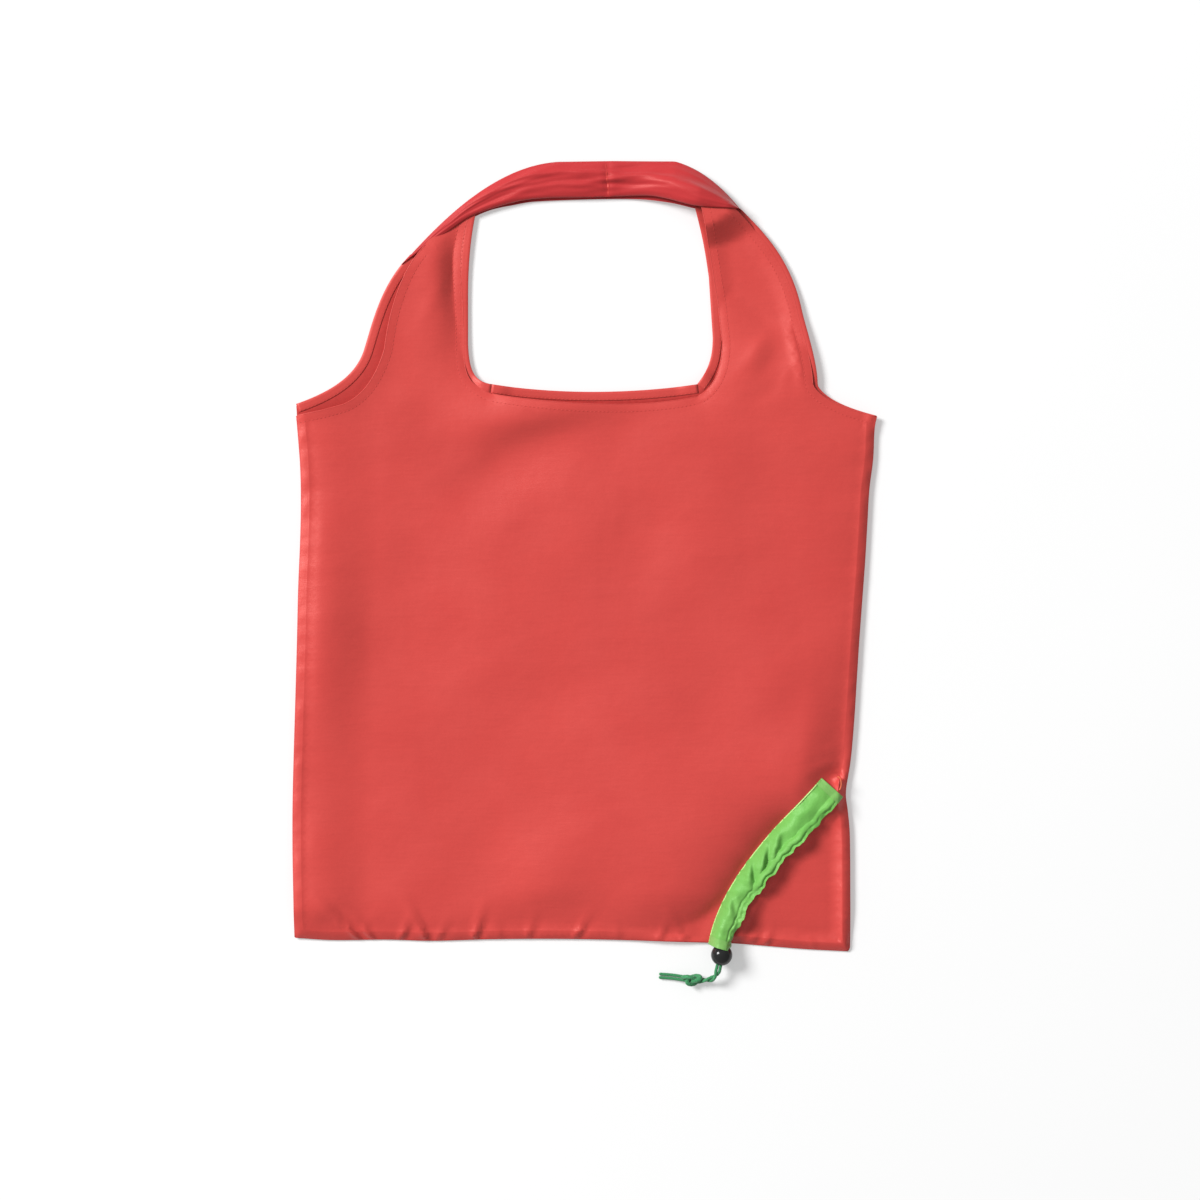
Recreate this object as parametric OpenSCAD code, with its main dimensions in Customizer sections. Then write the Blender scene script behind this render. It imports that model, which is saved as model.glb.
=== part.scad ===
// Foldable shopping bag of thin woven cloth, lying flat with its front panel up.
// Two vest-shaped panels are joined at the sides and the bottom. Each panel has two straps
// that curve together and meet in a grip. A drawcord channel crosses the lower right corner
// on both faces. Its cord leaves the lower end through a ball stopper and ends in a knot.
// X is the width, +Y goes towards the handles, and Z goes up from the resting plane.
// The origin is the middle of the bag on the resting plane. All sizes are in mm.

/* [Bag] */
// Width between the outer corners under the straps
bag_w = 380; // [360:1:400]
// Height of the body, from the bottom edge to the outer corners
body_h = 350; // [340:1:360]
// Height of the handles above the body
handle_h = 159; // [155:1:170]
// Height of the fold line above the bottom edge
fold_h = 135; // [120:1:160]
// Thickness of one layer of cloth, with its creases
cloth_t = 0.8; // [0.4:0.1:1.2]
// Free height between the two panels as the bag lies
inside_h = 6.4; // [6.4:0.2:10]

/* [Hems and seams] */
// Width of the turned hems at the mouth, straps and armholes
hem_w = 5.5; // [4:0.5:8]
// Thickness of a turned hem
hem_t = 0.6; // [0.4:0.1:0.6]
// Width of the seam folds inside the side and bottom edges
seam_w = 4; // [3:0.5:6]
// Thickness of the gathered cloth in a grip
grip_t = 1.6; // [1:0.1:2]

/* [Drawcord] */
// Width of the drawcord channel
channel_w = 18.5; // [17:0.5:20]
// Diameter of the braided cord
cord_d = 2.1; // [1.8:0.1:2.2]
// Diameter of the ball stopper
bead_d = 14; // [13:0.5:14]
// Straight travel of the cord out of the channel
pull_l = 15; // [10:1:16]

/* [Hidden] */
half_w = bag_w / 2;
corner_y = 100;
foot_y = 113;
top_y = corner_y + handle_h;
low_y = corner_y - body_h;
fold_y = low_y + fold_h;
slit = 0.15;
back_z = 0;
inner_z = back_z + cloth_t;
front_z = inner_z + inside_h;
top_z = front_z + cloth_t;
mouth_left = -62;
mouth_right = 74;
seam_x = 14.5;
wall = 0.8;
skin = 0.5;
back_space = cord_d + 0.2;
front_space = cord_d + 0.6;
cord_r = cord_d / 2;
cord_gap = cord_r + 0.05;
bore_r = cord_r + cord_gap + 0.3;
big = 700;

red = [0.84, 0.32, 0.30];
dark_red = [0.68, 0.20, 0.21];
green = [0.45, 0.81, 0.36];
pale_green = [0.55, 0.80, 0.44];
cord_green = [0.20, 0.50, 0.29];
black = [0.10, 0.08, 0.12];

// Curves and bands
function bez(a, b, c, d, n = 8) = [
  for (i = [0:n]) let (t = i / n, s = 1 - t)
    s * s * s * a + 3 * s * s * t * b + 3 * s * t * t * c + t * t * t * d
];
function rev(p) = [for (i = [len(p) - 1:-1:0]) p[i]];
function along(p, i) = let (q = p[min(i + 1, len(p) - 1)] - p[max(i - 1, 0)]) q / norm(q);
function side(p, w) = [
  for (i = [0:len(p) - 1]) let (d = along(p, i)) p[i] + w * [-d[1], d[0]]
];
module band(p, a, b) polygon(concat(side(p, a), rev(side(p, b))));
module slab(z, t) translate([0, 0, z]) linear_extrude(t) children();
module above(y) translate([-big / 2, y]) square(big);
module below(y) translate([-big / 2, y - big]) square(big);
module right_of(x) translate([x, -big / 2]) square(big);
module left_of(x) translate([x - big, -big / 2]) square(big);

// Edges of the body
left_side = [
  [-half_w + 1.5, 92], [-half_w + 4, 57], [-half_w + 4, 11], [-half_w + 2, -55],
  [-half_w, -133], [-half_w - 1, -190], [-half_w, low_y]
];
right_side = [
  [half_w + 1, 92.5], [half_w - 1, 84], [half_w - 4, 44], [half_w - 7, -2],
  [half_w - 11, -55], [half_w - 15, -115], [half_w - 20, -156], [half_w - 17, -182],
  [half_w - 17, low_y - 8.5]
];
bottom_side = [
  [-half_w, low_y], [-100, low_y - 1.5], [-16, low_y], [80, low_y - 3],
  [140, low_y - 6.5], [half_w - 17, low_y - 8.5]
];

// Edges of the back straps
back_arm_left = concat(
  bez([-half_w + 1, corner_y], [-168, 107], [-151, 117], [-145, 134]),
  bez([-145, 134], [-139, 153], [-134, 178], [-114, 198])
);
back_arm_right = concat(
  bez([102, 227], [122, 208], [136, 190], [142, 160]),
  bez([142, 160], [146, 144], [152, 126], [152, 112]),
  bez([152, 112], [157, 103], [172, 97], [half_w + 1, 92.5])
);
arch_left = bez([-114, 198], [-92, 222], [-58, top_y - 3], [-18, top_y]);
arch_right = bez([59, top_y], [76, 254], [90, 242], [102, 227]);
back_hand_left = concat(
  bez([-72, 225], [-76, 206], [-77, 188], [-77, 170], 6), [[-77, 150]],
  bez([-77, 140], [-76.5, 124], [-74, 114], [mouth_left, 112.5], 6)
);
back_hand_right = concat(
  bez([mouth_right, 112.5], [83, 124], [84, 134], [84, 144], 6), [[83, 165]],
  bez([81, 183], [79, 201], [77, 212], [72, 229], 6)
);
back_mouth = bez([mouth_left, 112.5], [-20, 106], [30, 106], [mouth_right, 112.5], 10);

// Edges of the front straps, a little inside the back ones
front_arm_left = concat(
  [[-172, 95.5]], bez([-157, 99.5], [-144, 105], [-136, 119], [-131, 136]),
  bez([-131, 136], [-129, 155], [-122, 184], [-107, 201])
);
front_arm_right = side(back_arm_right, -2.5);
front_hand_left = concat(
  bez([-76, 222], [-80, 212], [-82, 201], [-82, 191], 6), [[-80, 163]],
  bez([-79.5, 140], [-80, 118], [-76, 112], [mouth_left, 106.5], 6)
);
front_hand_right = concat(
  bez([mouth_right, 105], [84, 110], [90, 122], [90, 140], 6), [[87, 168]],
  bez([85, 180], [82, 200], [79, 216], [76, 229], 6)
);
front_mouth = bez([mouth_left, 106.5], [-20, 98.5], [40, 96.5], [mouth_right, 105], 10);

// Lower edge of each grip
front_under = [
  [-118, 193.5], [-107, 201], [-72, 224.5], [-45, 232.5], [-24, 235], [28, 236],
  [54, 233.5], [70, 229.5], [83, 228.5], [101, 227.5]
];
back_under = [
  [-114, 196], [-72, 223], [-45, 231], [-24, 233.5], [28, 234.5], [54, 232], [76, 227], [100, 225]
];

// Middle line of the drawcord channel, from the side edge to the bottom edge
channel_line = bez([161.5, -151.5], [140, -176], [97, -213.5], [88, low_y - 1.2], 10);
// The channel narrows towards its lower end
function strip_edge(inset, way) = [
  for (i = [0:10]) side(channel_line, way * (channel_w / 2 - 2.3 * pow(i / 10, 3) - inset))[i]
];

module strip(inset) polygon(concat(strip_edge(inset, -1), rev(strip_edge(inset, 1))));

// Flat outlines of the two cut sheets, straps included
module back_sheet() polygon(concat(
  left_side, bottom_side, rev(right_side), rev(back_arm_right), [[97, 232], [73, 234]],
  rev(back_hand_right), rev(back_mouth), rev(back_hand_left), [[-69, 231], [-104, 209]],
  rev(back_arm_left)
));
module front_sheet() polygon(concat(
  left_side, bottom_side, rev(right_side), rev(front_arm_right), [[94, 232], [77, 236]],
  rev(front_hand_right), rev(front_mouth), rev(front_hand_left), [[-70, 230], [-103, 207]],
  rev(front_arm_left)
));
module lower_part() intersection() {
  children();
  below(fold_y - slit);
}
module upper_part() intersection() {
  children();
  above(fold_y + slit);
  below(foot_y - slit);
}
module strap_part(way) intersection() {
  children();
  above(foot_y + slit);
  if (way < 0) left_of(0); else right_of(0);
}
module front_arch() polygon(concat(
  [[-118, 193.5]], arch_left, arch_right, rev(front_under)
));
module back_arch() polygon(concat(
  side(arch_left, -1), side(arch_right, -1), rev(back_under)
));

// Panels
module back_panel_lower() color(red) slab(back_z, cloth_t) difference() {
  lower_part() back_sheet();
  strip(0);
}
module back_panel_upper() color(red) slab(back_z, cloth_t) upper_part() back_sheet();
module front_panel_lower() color(red) slab(front_z, cloth_t) lower_part() front_sheet();
module front_panel_upper() color(red) slab(front_z, cloth_t) upper_part() front_sheet();

// Folded seams between the panels, and the turned hems of the mouth
module left_fold() intersection() {
  band(left_side, 0, seam_w);
  below(92);
}
module right_fold() intersection() {
  band(right_side, -seam_w, 0);
  front_sheet();
  below(88);
}
module low_fold() difference() {
  intersection() {
    band(bottom_side, 0, seam_w);
    front_sheet();
  }
  left_fold();
  right_fold();
}
module channel_gap() slab(back_z, back_space + 0.8) strip(0);
module left_seam_lower() color(dark_red) slab(inner_z, inside_h) lower_part() left_fold();
module left_seam_upper() color(dark_red) slab(inner_z, inside_h) upper_part() left_fold();
module right_seam_lower() color(dark_red) difference() {
  slab(inner_z, inside_h) lower_part() right_fold();
  channel_gap();
}
module right_seam_upper() color(dark_red) slab(inner_z, inside_h) upper_part() right_fold();
module bottom_seam() color(dark_red) difference() {
  slab(inner_z, inside_h) low_fold();
  channel_gap();
}
module back_mouth_hem() color(dark_red) slab(inner_z, hem_t)
  upper_part() band(back_mouth, -hem_w, -slit);
module front_mouth_hem() color(dark_red) slab(front_z - hem_t, hem_t)
  upper_part() band(front_mouth, -hem_w, -slit);

// Straps
module back_strap_left() color(red) slab(back_z, cloth_t) strap_part(-1) back_sheet();
module back_strap_right() color(red) slab(back_z, cloth_t) strap_part(1) back_sheet();
module front_strap_left() color(red) slab(front_z, cloth_t) strap_part(-1) front_sheet();
module front_strap_right() color(red) slab(front_z, cloth_t) strap_part(1) front_sheet();

// Grips, each sewn together from the ends of two straps
module back_grip_left() color(red) slab(inner_z, grip_t) intersection() {
  back_arch();
  left_of(seam_x);
}
module back_grip_right() color(red) slab(inner_z, grip_t) intersection() {
  back_arch();
  right_of(seam_x);
}
module front_grip_left() color(red) slab(top_z, grip_t) intersection() {
  front_arch();
  left_of(seam_x);
}
module front_grip_right() color(red) slab(top_z, grip_t) intersection() {
  front_arch();
  right_of(seam_x);
}
module back_grip_seam() color(dark_red) slab(inner_z + grip_t, hem_t) intersection() {
  back_arch();
  translate([seam_x - 1.2, 200]) square([2.4, 80]);
}
module front_grip_seam() color(dark_red) slab(top_z + grip_t, hem_t) intersection() {
  front_arch();
  translate([seam_x - 1.2, 200]) square([2.4, 80]);
}

// Turned hems of the hand opening and the armholes
module back_hem(line, way) color(dark_red) slab(inner_z, hem_t) difference() {
  strap_part(way) intersection() {
    band(line, -hem_w, 0);
    back_sheet();
  }
  back_arch();
}
module front_hem(line, way) color(dark_red) slab(front_z - hem_t, hem_t)
  strap_part(way) intersection() {
    band(line, -hem_w, 0);
    front_sheet();
  }
module back_hand_hem_left() back_hem(back_hand_left, -1);
module back_hand_hem_right() back_hem(back_hand_right, 1);
module front_hand_hem_left() front_hem(front_hand_left, -1);
module front_hand_hem_right() front_hem(front_hand_right, 1);
module back_arm_hem_left() back_hem(back_arm_left, -1);
module back_arm_hem_right() back_hem(back_arm_right, 1);
module front_arm_hem_left() front_hem(front_arm_left, -1);
module front_arm_hem_right() front_hem(front_arm_right, 1);

// Drawcord channels: a closed flat sleeve behind, and a strip sewn over the panel in front
module channel(z, h, inset) difference() {
  slab(z, h) strip(inset);
  slab(z + (inset > 0 ? 0.4 : -1), h + (inset > 0 ? -0.7 : 1 - skin)) strip(wall);
}
module back_channel() color(green) channel(back_z, back_space + 0.7, 0.1);
module front_channel() color(green) channel(top_z, front_space + skin, 0);
module end_band(p, d) color(pale_green) slab(top_z + front_space + skin, 0.4) intersection() {
  band([p, p + hem_w * d], -channel_w / 2, channel_w / 2);
  strip(0);
}
module channel_hem_top() end_band(channel_line[0], along(channel_line, 0));
module channel_hem_end() end_band(channel_line[10], -along(channel_line, 10));

// Middle line of the cord's free end. It runs straight through the ball stopper, along the
// way it is pulled, then turns into the knot and ends in two short tails.
cord_angle = 256;
pull = [cos(cord_angle), sin(cord_angle), 0];
bead = [89.3, low_y - 10.4, top_z + front_space / 2];
knot = [69.9, low_y - 27.2, 4];
free_line = concat(
  [for (d = [-pull_l - 13:6:13]) bead + d * pull],
  [
    bead + 11.2 * pull, [85.3, -274.3, 8.4], [82.5, -276.4, 7], [78.8, -277.3, 5.6],
    [74.6, -277.5, 4.5], knot, [64.5, -276.4, 2.7], [57, -275.4, 1.6], [48.4, -274.8, 1.3]
  ]
);

// A tube of eight sides swept along a line, as much as w to one side of it
function ahead(p, i) = let (q = p[min(i + 1, len(p) - 1)] - p[max(i - 1, 0)]) q / norm(q);
function beside(p, i) = let (q = cross(ahead(p, i), [0, 0, 1])) q / norm(q);
function rim(p, i, w, r) = let (u = beside(p, i), v = cross(u, ahead(p, i)))
  [for (j = [0:7]) p[i] + w * u + r * (cos(45 * j) * u + sin(45 * j) * v)];
module tube(p, w, r) let (n = len(p) - 1) polyhedron(
  points = [for (i = [0:n]) each rim(p, i, w, r)],
  faces = concat(
    [[for (j = [0:7]) j], [for (j = [7:-1:0]) n * 8 + j]],
    [for (i = [0:n - 1], j = [0:7]) each let (a = i * 8 + j, b = i * 8 + (j + 1) % 8)
      [[b, a, a + 8], [b, a + 8, b + 8]]]
  )
);
function lift(p, z) = [for (q = p) [q[0], q[1], z]];
module cord_run_back() color(cord_green)
  tube(lift(channel_line, back_z + 0.4 + back_space / 2), 0, cord_r);
module cord_run_front() color(cord_green)
  tube([for (i = [0:7]) lift(side(channel_line, -5), bead[2])[i]], 0, cord_r);
module cord_end_a() color(cord_green) tube(free_line, -cord_gap, cord_r);
module cord_end_b() color(cord_green) tube(free_line, cord_gap, cord_r);
module cord_knot() color(cord_green) translate(knot) rotate([0, 90, 10])
  rotate_extrude($fn = 32) polygon([for (a = [-90:15:90]) [3.8 * cos(a), 5.6 * sin(a)]]);
module side_loop() color(dark_red) translate([165, -147, top_z + 0.5]) rotate(125)
  rotate_extrude(angle = 180, $fn = 24) translate([2.6, 0]) circle(0.4, $fn = 16);
module ball_stopper() color(black) translate(bead) difference() {
  sphere(d = bead_d, $fn = 64);
  rotate([0, 90, cord_angle]) cylinder(h = bead_d + 2, r = bore_r, center = true, $fn = 48);
}

back_panel_lower();
back_panel_upper();
front_panel_lower();
front_panel_upper();
left_seam_lower();
left_seam_upper();
right_seam_lower();
right_seam_upper();
bottom_seam();
back_mouth_hem();
front_mouth_hem();
back_strap_left();
back_strap_right();
front_strap_left();
front_strap_right();
back_grip_left();
back_grip_right();
back_grip_seam();
front_grip_left();
front_grip_right();
front_grip_seam();
back_hand_hem_left();
back_hand_hem_right();
front_hand_hem_left();
front_hand_hem_right();
back_arm_hem_left();
back_arm_hem_right();
front_arm_hem_left();
front_arm_hem_right();
back_channel();
front_channel();
channel_hem_top();
channel_hem_end();
cord_run_back();
cord_run_front();
side_loop();
ball_stopper();
cord_end_a();
cord_end_b();
cord_knot();
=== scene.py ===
"""A foldable shopping bag of thin polyester cloth, lying flat, seen from straight above.

front_height and back_height say how high its two sides lie, and all that is sewn to them follows.
"""
import math

import bmesh
import bpy
import numpy as np
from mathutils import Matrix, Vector, noise
from mathutils.geometry import delaunay_2d_cdt


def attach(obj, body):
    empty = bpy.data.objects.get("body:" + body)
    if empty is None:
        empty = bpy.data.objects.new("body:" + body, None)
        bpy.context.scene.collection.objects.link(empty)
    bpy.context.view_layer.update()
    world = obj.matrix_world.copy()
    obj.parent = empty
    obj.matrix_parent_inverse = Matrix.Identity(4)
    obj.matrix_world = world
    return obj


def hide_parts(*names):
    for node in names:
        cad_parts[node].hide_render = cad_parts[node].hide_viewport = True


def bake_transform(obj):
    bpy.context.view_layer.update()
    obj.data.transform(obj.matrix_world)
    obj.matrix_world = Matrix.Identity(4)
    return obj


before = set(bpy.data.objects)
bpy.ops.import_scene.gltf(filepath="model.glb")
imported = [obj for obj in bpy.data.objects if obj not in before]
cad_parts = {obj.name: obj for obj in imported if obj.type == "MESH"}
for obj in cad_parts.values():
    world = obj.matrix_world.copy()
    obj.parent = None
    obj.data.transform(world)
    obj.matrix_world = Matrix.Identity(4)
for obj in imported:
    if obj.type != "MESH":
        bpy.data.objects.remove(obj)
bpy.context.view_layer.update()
scene = bpy.context.scene

# ---------------- camera
CAMERA_HEIGHT = 2.25
VIEW_WIDTH = 0.7875  # how much of the table a picture shows
SENSOR = 36

cam = bpy.data.objects.new("camera", bpy.data.cameras.new("camera"))
scene.collection.objects.link(cam)
scene.camera = cam
cam.location = (0.0098, -0.0284, CAMERA_HEIGHT)
cam.data.sensor_width = SENSOR
cam.data.lens = SENSOR * CAMERA_HEIGHT / VIEW_WIDTH
cam.data.clip_start, cam.data.clip_end = 0.01, 20

# ---------------- sizes, in mm
MM = 0.001
CLOTH = 0.34  # thickness of one layer
LAYER_GAP = 0.45  # least height of the front's top over the back's
LEAST_FRONT = 1.6  # least height of the front, before its open edges drop
CUT = 0  # Y at which a sheet is cut into its lower and its upper piece
SHEET_CLEAR = 0.05  # least height of the sheets and of the grips' seams
BAND_CLEAR = 0.04  # least height of the hems and the bands
HEM_STITCHES = 4.85  # from an open edge to its row of stitches
SEAM_DEPTH = 3.8  # of the cloth turned inside at a sewn edge
STRAP_TOP = 3.2  # height of the straps under the grips
STRAP_RISE = 10.4  # how much higher they get towards the right
GRIP_CLOTH = 0.4
GRIP_SEAM = 14.6  # X of the seam across both grips, on average
SEAM_FOOT = 15.8  # its X at their lower edge
SEAM_HEAD = 13.0  # its X at their upper edge
STRIP_HALF = 9.25  # half the width of the drawcord channel
STRIP_LONG = 130.0
STRIP_HEM = 5.4  # width of the hem at each of its ends
STRAND = 1.05  # radius of one strand of the cord
STRAND_OFFSET = 1.12  # from the middle of the doubled cord
BRAID_PITCH = 2.3  # along the cord, until its threads come round again
BALL = 7.0  # radius of the ball stopper
BORE = 2.45  # radius of its bore
BORE_MOUTH = 2.85  # radius at which its round outside ends


# ---------------- lines and shapes
def bez(a, b, c, d, n=24):
    """A cubic curve from a to d, as n + 1 points."""
    t = np.linspace(0, 1, n + 1)[:, None]
    a, b, c, d = (np.array(p, float) for p in (a, b, c, d))
    return (1 - t) ** 3 * a + 3 * (1 - t) ** 2 * t * b + 3 * (1 - t) * t * t * c + t**3 * d


def lengths_along(line):
    """How far along a line each of its points is."""
    return np.concatenate([[0], np.cumsum(np.linalg.norm(np.diff(line, axis=0), axis=1))])


def even(line, step, n=None):
    """The line again, with points step apart, or n points."""
    line = np.array(line, float)
    at = lengths_along(line)
    s = np.linspace(0, at[-1], n or max(2, int(math.ceil(at[-1] / step)) + 1))
    return np.stack([np.interp(s, at, line[:, k]) for k in range(line.shape[1])], 1)


def smooth(points, step=2.0):
    """A smooth curve through the points."""
    p = np.array(points, float)
    p = np.vstack([2 * p[0] - p[1], p, 2 * p[-1] - p[-2]])
    out = []
    for i in range(1, len(p) - 2):
        for t in np.linspace(0, 1, 12, endpoint=False):
            a, b, c, d = p[i - 1 : i + 3]
            out.append(0.5 * (2 * b + (c - a) * t + (2 * a - 5 * b + 4 * c - d) * t * t
                              + (3 * b - a - 3 * c + d) * t**3))
    out.append(p[-2])
    return even(out, step)


def join(*lines):
    """One line of several that meet end to end, without the doubled points."""
    out = [np.array(lines[0], float)]
    for line in lines[1:]:
        line = np.array(line, float)
        out.append(line[1:] if np.linalg.norm(out[-1][-1] - line[0]) < 0.3 else line)
    return np.vstack(out)


def cut_line(*parts):
    """An edge of the cut cloth, from parts that meet end to end."""
    return even(join(*parts), 2)


def near(p, line, closed=False):
    """How far each point is from a line, and how far along the line the nearest place is."""
    line = np.array(line, float)
    if closed:
        line = np.vstack([line, line[:1]])
    a, d = line[:-1], np.diff(line, axis=0)
    square = np.maximum((d * d).sum(1), 1e-9)
    at = np.concatenate([[0], np.cumsum(np.sqrt(square))])
    best, place = np.full(len(p), 1e9), np.zeros(len(p))
    for i in range(len(a)):
        q = p - a[i]
        t = np.clip((q @ d[i]) / square[i], 0, 1)
        e = np.hypot(q[:, 0] - t * d[i, 0], q[:, 1] - t * d[i, 1])
        closer = e < best
        best[closer] = e[closer]
        place[closer] = (at[i] + t * math.sqrt(square[i]))[closer]
    return best, place


def inside(p, rim):
    """Which of the points are inside an outline."""
    x, y = p[:, 0], p[:, 1]
    hit = np.zeros(len(p), bool)
    for a, b in zip(rim, np.roll(rim, -1, axis=0)):
        if a[1] != b[1]:
            cross = (a[1] > y) != (b[1] > y)
            hit ^= cross & (x < (b[0] - a[0]) * (y - a[1]) / (b[1] - a[1]) + a[0])
    return hit


def left_of(line):
    """At each point of a line, the direction to its left."""
    d = np.gradient(np.array(line, float), axis=0)
    d /= np.maximum(np.linalg.norm(d, axis=1), 1e-9)[:, None]
    return np.stack([-d[:, 1], d[:, 0]], 1)


def beside(line, w):
    """The line moved w to its left."""
    return line + w * left_of(line)


def step_up(x, a, b):
    """0 up to a and 1 from b on, with a soft step between them."""
    t = np.clip((x - a) / (b - a), 0, 1)
    return t * t * (3 - 2 * t)


def bell(x, width):
    """1 where x is 0, and softly down to 0 on both sides."""
    return np.exp(-((x / width) ** 2))


def ridge_noise(p, size, seed, depth=3):
    """Soft wrinkle noise around 0, with features of that size."""
    return np.array([noise.fractal(Vector((x / size + seed, y / size - seed, seed * 0.37)), 0.9, 2.1, depth)
                     for x, y in p])


def noise_at(a, b, seed):
    """Smooth noise from -1 to 1 at the places a, b, with features of about 1."""
    a, b = np.broadcast_arrays(a, b)
    values = [noise.noise(Vector((i, j, seed))) for i, j in zip(a.ravel(), b.ravel())]
    return np.array(values).reshape(a.shape)


# ---------------- outlines of the cut cloth
left_side = smooth([
    (-188.5, 92), (-187, 74), (-185.8, 57), (-185.4, 34), (-185.8, 11), (-187, -20),
    (-187.8, -55), (-189, -95), (-190.2, -133), (-190.9, -165), (-190.8, -195),
    (-190.2, -225), (-190, -249.4)])
right_side = smooth([
    (190.8, 92), (189.2, 84), (188.3, 64), (185.8, 44), (184.4, 20), (183.1, -2),
    (181.2, -28), (179.2, -55), (177.6, -80), (175.9, -107), (173.6, -133),
    (170.4, -154), (171.6, -166), (173, -183), (173.3, -220), (173.3, -254),
    (172.4, -258.3)])
bottom_side = smooth([
    (-190, -249.4), (-165, -250.9), (-130, -250.6), (-100, -251.4), (-60, -250.3),
    (-16, -250.1), (30, -251), (80, -252.6), (102, -253.4), (141, -256.6),
    (172.4, -258.3)])
back_arm_left = cut_line(
    bez((-189, 99.6), (-168, 107), (-151, 117), (-145, 134)),
    bez((-145, 134), (-139, 153), (-134, 178), (-114, 198)))
back_arm_right = cut_line(
    bez((102, 227), (122, 208), (136, 190), (142, 160)),
    bez((142, 160), (146, 144), (152, 126), (152, 112)),
    bez((152, 112), (157, 103), (172, 97), (190.8, 92)))
arch_left = even(bez((-114, 198), (-92, 222), (-58, 256), (-18, 258.7)), 2)
arch_right = even(bez((59, 258.7), (76, 254), (90, 242), (102, 227)), 2)
back_hand_left = cut_line(
    bez((-72, 225), (-76, 206), (-77, 188), (-77, 170)), [(-77, 170), (-77, 140)],
    bez((-77, 140), (-76.5, 124), (-74, 114), (-61, 112.5)))
back_hand_right = cut_line(
    bez((73.5, 112.5), (83, 124), (84, 134), (84, 144)), [(84, 144), (81.5, 183)],
    bez((81.5, 183), (79, 201), (77, 212), (72, 229)))
back_mouth = even(bez((-61, 112.5), (-20, 106), (30, 106), (73.5, 112.5)), 2)
front_arm_left = cut_line(
    [(-188.5, 92.2), (-172, 95.5), (-158, 99.3)],
    bez((-158, 99.3), (-144, 105), (-136, 119), (-131, 136)),
    bez((-131, 136), (-129, 155), (-122, 184), (-107, 201)))
front_arm_right = cut_line(
    bez((99, 226), (119, 207), (133, 189), (139, 160)),
    bez((139, 160), (143, 144), (149, 126), (149, 112)),
    bez((149, 112), (155, 102), (172, 96), (190.2, 91.5)))
front_hand_left = cut_line(
    bez((-76, 224), (-80, 212), (-82, 201), (-82, 191)),
    [(-82, 191), (-80, 163), (-79.5, 140)],
    bez((-79.5, 140), (-80, 118), (-76, 112), (-61, 106.5)))
front_hand_right = cut_line(
    bez((74, 105), (84, 110), (90, 122), (90, 140)),
    [(90, 140), (87, 168), (84.8, 180)],
    bez((84.8, 180), (82, 200), (79, 216), (76, 229)))
front_mouth = even(bez((-61, 106.5), (-20, 98.5), (40, 96.5), (74, 105)), 2)
front_grip_low = smooth([
    (-119, 192.5), (-107, 201), (-90, 213), (-72, 224.3), (-45, 232.5), (-24, 235), (2, 235.4),
    (28, 236.2), (42, 236.1), (54, 233.7), (70, 229.2), (83, 227.8), (101.5, 227.2)])
back_grip_low = smooth([
    (-114, 196), (-72, 223.2), (-45, 231), (-24, 233.4), (28, 234.6), (54, 232), (76, 227), (100, 225.5)])
grip_high = join(even([(-120.5, 191.5), (-114, 198)], 2), arch_left,
                 even([(-18, 258.7), (20, 259.2), (59, 258.7)], 2), arch_right)
channel_line = even(bez((161.8, -151), (140, -176), (97, -213.5), (87.6, -255.6)), 1.5)

front_open = (front_mouth, front_hand_left, front_hand_right, front_arm_left, front_arm_right)
back_open = (back_mouth, back_hand_left, back_hand_right, back_arm_left, back_arm_right)
front_rim = join(left_side, bottom_side, right_side[::-1], front_arm_right[::-1], [(94, 232), (77, 236)],
                 front_hand_right[::-1], front_mouth[::-1], front_hand_left[::-1], [(-70, 230), (-103, 207)],
                 front_arm_left[::-1])[:-1]
back_rim = join(left_side, bottom_side, right_side[::-1], back_arm_right[::-1], [(97, 232), (73, 234)],
                back_hand_right[::-1], back_mouth[::-1], back_hand_left[::-1], [(-69, 231), (-104, 209)],
                back_arm_left[::-1])


# ---------------- how high the cloth lies
# Soft rises and dips of the front: x, y, half sizes, angle, height
SWELLS = [
    (-60, 20, 46, 20, 28, 1.0), (40, -30, 60, 24, 35, 0.9), (-20, -90, 50, 22, 30, -0.8),
    (110, -60, 36, 30, -20, 0.8), (-60, -205, 34, 16, -40, -0.8), (-10, -195, 40, 20, 15, 0.9),
    (50, -150, 40, 26, 40, 0.8), (150, 20, 22, 40, 5, 0.6), (150, 70, 30, 12, -25, 0.6),
    (157, -136, 13, 3.0, 24, 0.8), (160, -127, 10, 2.6, 12, 0.6), (166, -144, 8, 2.4, 45, 0.6),
]
# Places where the front falls away along a line: x, y, half length of the fall, half width, heading, depth
FALLS = [
    (-30, 85, 14, 52, -80, 5.6), (-56, 66, 20, 40, -70, 2.0), (-22, -226, 16, 36, -80, 3.4),
    (62, -200, 24, 30, -35, 1.6), (-125, 8, 26, 34, -20, 1.4), (20, 18, 30, 50, -30, 1.6),
    (-40, -60, 34, 40, -30, 1.8), (96, 30, 30, 36, -40, 1.6), (70, -90, 34, 40, -20, 1.6),
    (-96, -130, 30, 30, -40, 1.6), (128, -92, 20, 26, -30, 1.6), (-90, 188, 11, 38, 2, 7.0),
    (-96, 140, 18, 20, -20, 1.4), (-112, 88, 26, 40, -30, 2.6), (112, 168, 20, 26, -30, 1.8),
    (-134, -44, 30, 50, -20, 2.4), (14, 78, 24, 34, -40, 1.8), (118, 130, 7, 15, -35, 1.8),
    (-64, 66, 12, 22, -60, 1.2),
]
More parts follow.
